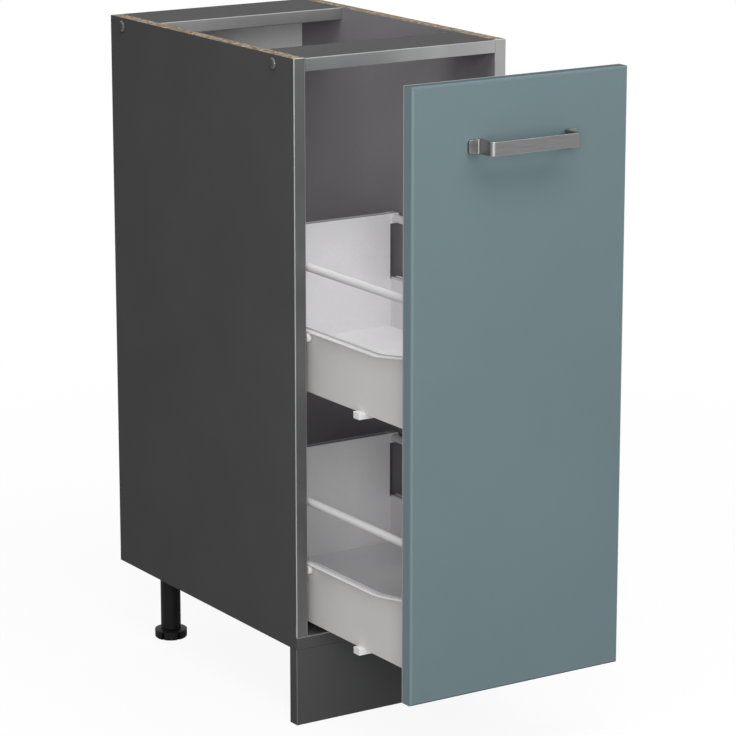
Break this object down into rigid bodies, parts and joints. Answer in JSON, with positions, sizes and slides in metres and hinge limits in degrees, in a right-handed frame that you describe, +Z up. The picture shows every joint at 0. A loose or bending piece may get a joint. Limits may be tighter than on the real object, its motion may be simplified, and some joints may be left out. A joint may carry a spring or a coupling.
{
  "type": "pull-out pantry cabinet",
  "caption": "Narrow kitchen base cabinet whose tall front pulls out steel trays on roller runners, with gallery rods, bar handle, plinth and levelling rear legs.",
  "frame": {"origin": "middle of the open cabinet's footprint, on the floor", "axes": "+X to the right seen from the front, +Y towards the back of the cabinet, +Z up"},
  "size_m": [0.3, 0.722, 0.816],
  "materials": {
    "carcass_board": "dark grey melamine on 16 mm chipboard, fine matte texture, raw top edges on the sides",
    "back_board": "3 mm hardboard with a grey printed face",
    "front_foil": "silk matte blue-grey foil over MDF with rounded edges",
    "tray_board": "white melamine on 12 mm board, grey edging on the backs' top edges",
    "handle_steel": "fine satin brushing along the bar",
    "zinc_screw": "bright zinc plating",
    "leg_plastic": "black moulded plastic with a slight sheen",
    "white_steel": "white powder coat with a fine orange peel",
    "white_plastic": "white moulded nylon"
  },
  "bodies": {
    "carcass": {"side_panel_left": "carcass_board", "side_panel_right": "carcass_board", "bottom_panel": "carcass_board", "top_rail_front": "carcass_board", "top_rail_rear": "carcass_board", "back_panel": "back_board", "plinth_panel": "carcass_board", "plinth_brackets": "leg_plastic", "rail_screws": "zinc_screw", "base_screws": "zinc_screw", "runner_screws": "zinc_screw", "leg_left": "leg_plastic", "leg_right": "leg_plastic", "front_roller_pins": "zinc_screw", "cabinet_runner_upper_left": "white_steel", "cabinet_runner_upper_right": "white_steel", "cabinet_runner_lower_left": "white_steel", "cabinet_runner_lower_right": "white_steel"},
    "pull_out": {"front_panel": "front_foil", "handle": "handle_steel", "handle_screws": "zinc_screw", "rear_roller_pins": "zinc_screw", "gallery_upper_left": "white_steel", "gallery_upper_right": "white_steel", "tray_wall_upper": "white_steel", "tray_rim_upper": "white_steel", "tray_floor_upper": "tray_board", "tray_back_upper": "tray_board", "gallery_sockets_upper": "white_plastic", "gallery_holders_upper": "white_plastic", "guide_clips_upper": "white_plastic", "front_blocks_upper": "white_plastic", "gallery_lower_left": "white_steel", "gallery_lower_right": "white_steel", "tray_wall_lower": "white_steel", "tray_rim_lower": "white_steel", "tray_floor_lower": "tray_board", "tray_back_lower": "tray_board", "gallery_sockets_lower": "white_plastic", "gallery_holders_lower": "white_plastic", "guide_clips_lower": "white_plastic", "front_blocks_lower": "white_plastic"},
    "foot_left": {"foot_left": "leg_plastic"},
    "foot_right": {"foot_right": "leg_plastic"},
    "front_roller_upper_left": {"front_roller_upper_left": "white_plastic"},
    "front_roller_upper_right": {"front_roller_upper_right": "white_plastic"},
    "front_roller_lower_left": {"front_roller_lower_left": "white_plastic"},
    "front_roller_lower_right": {"front_roller_lower_right": "white_plastic"},
    "rear_roller_upper_left": {"rear_roller_upper_left": "white_plastic"},
    "rear_roller_upper_right": {"rear_roller_upper_right": "white_plastic"},
    "rear_roller_lower_left": {"rear_roller_lower_left": "white_plastic"},
    "rear_roller_lower_right": {"rear_roller_lower_right": "white_plastic"}
  },
  "joints": [
    {"name": "pull_out_slide", "type": "slide", "parent": "carcass", "child": "pull_out", "axis": [0, -1, 0], "range_m": [-0.226, 0.094]},
    {"name": "foot_left_level", "type": "slide", "parent": "carcass", "child": "foot_left", "axis": [0, 0, -1], "range_m": [0, 0.02]},
    {"name": "foot_right_level", "type": "slide", "parent": "carcass", "child": "foot_right", "axis": [0, 0, -1], "range_m": [0, 0.02]},
    {"name": "front_roller_upper_left_spin", "type": "hinge", "parent": "carcass", "child": "front_roller_upper_left", "pos_m": [-0.1285, -0.0785, 0.481], "axis": [1, 0, 0], "continuous": true},
    {"name": "front_roller_upper_right_spin", "type": "hinge", "parent": "carcass", "child": "front_roller_upper_right", "pos_m": [0.1285, -0.0785, 0.481], "axis": [1, 0, 0], "continuous": true},
    {"name": "front_roller_lower_left_spin", "type": "hinge", "parent": "carcass", "child": "front_roller_lower_left", "pos_m": [-0.1285, -0.0785, 0.193], "axis": [1, 0, 0], "continuous": true},
    {"name": "front_roller_lower_right_spin", "type": "hinge", "parent": "carcass", "child": "front_roller_lower_right", "pos_m": [0.1285, -0.0785, 0.193], "axis": [1, 0, 0], "continuous": true},
    {"name": "rear_roller_upper_left_spin", "type": "hinge", "parent": "pull_out", "child": "rear_roller_upper_left", "pos_m": [-0.1285, 0.1055, 0.474], "axis": [1, 0, 0], "continuous": true},
    {"name": "rear_roller_upper_right_spin", "type": "hinge", "parent": "pull_out", "child": "rear_roller_upper_right", "pos_m": [0.1285, 0.1055, 0.474], "axis": [1, 0, 0], "continuous": true},
    {"name": "rear_roller_lower_left_spin", "type": "hinge", "parent": "pull_out", "child": "rear_roller_lower_left", "pos_m": [-0.1285, 0.1055, 0.186], "axis": [1, 0, 0], "continuous": true},
    {"name": "rear_roller_lower_right_spin", "type": "hinge", "parent": "pull_out", "child": "rear_roller_lower_right", "pos_m": [0.1285, 0.1055, 0.186], "axis": [1, 0, 0], "continuous": true}
  ],
  "couplings": [
    {"joint": "front_roller_upper_left_spin", "follows": "pull_out_slide", "rad_per_m": 181.82},
    {"joint": "front_roller_upper_right_spin", "follows": "pull_out_slide", "rad_per_m": 181.82},
    {"joint": "front_roller_lower_left_spin", "follows": "pull_out_slide", "rad_per_m": 181.82},
    {"joint": "front_roller_lower_right_spin", "follows": "pull_out_slide", "rad_per_m": 181.82},
    {"joint": "rear_roller_upper_left_spin", "follows": "pull_out_slide", "rad_per_m": 181.82},
    {"joint": "rear_roller_upper_right_spin", "follows": "pull_out_slide", "rad_per_m": 181.82},
    {"joint": "rear_roller_lower_left_spin", "follows": "pull_out_slide", "rad_per_m": 181.82},
    {"joint": "rear_roller_lower_right_spin", "follows": "pull_out_slide", "rad_per_m": 181.82}
  ]
}
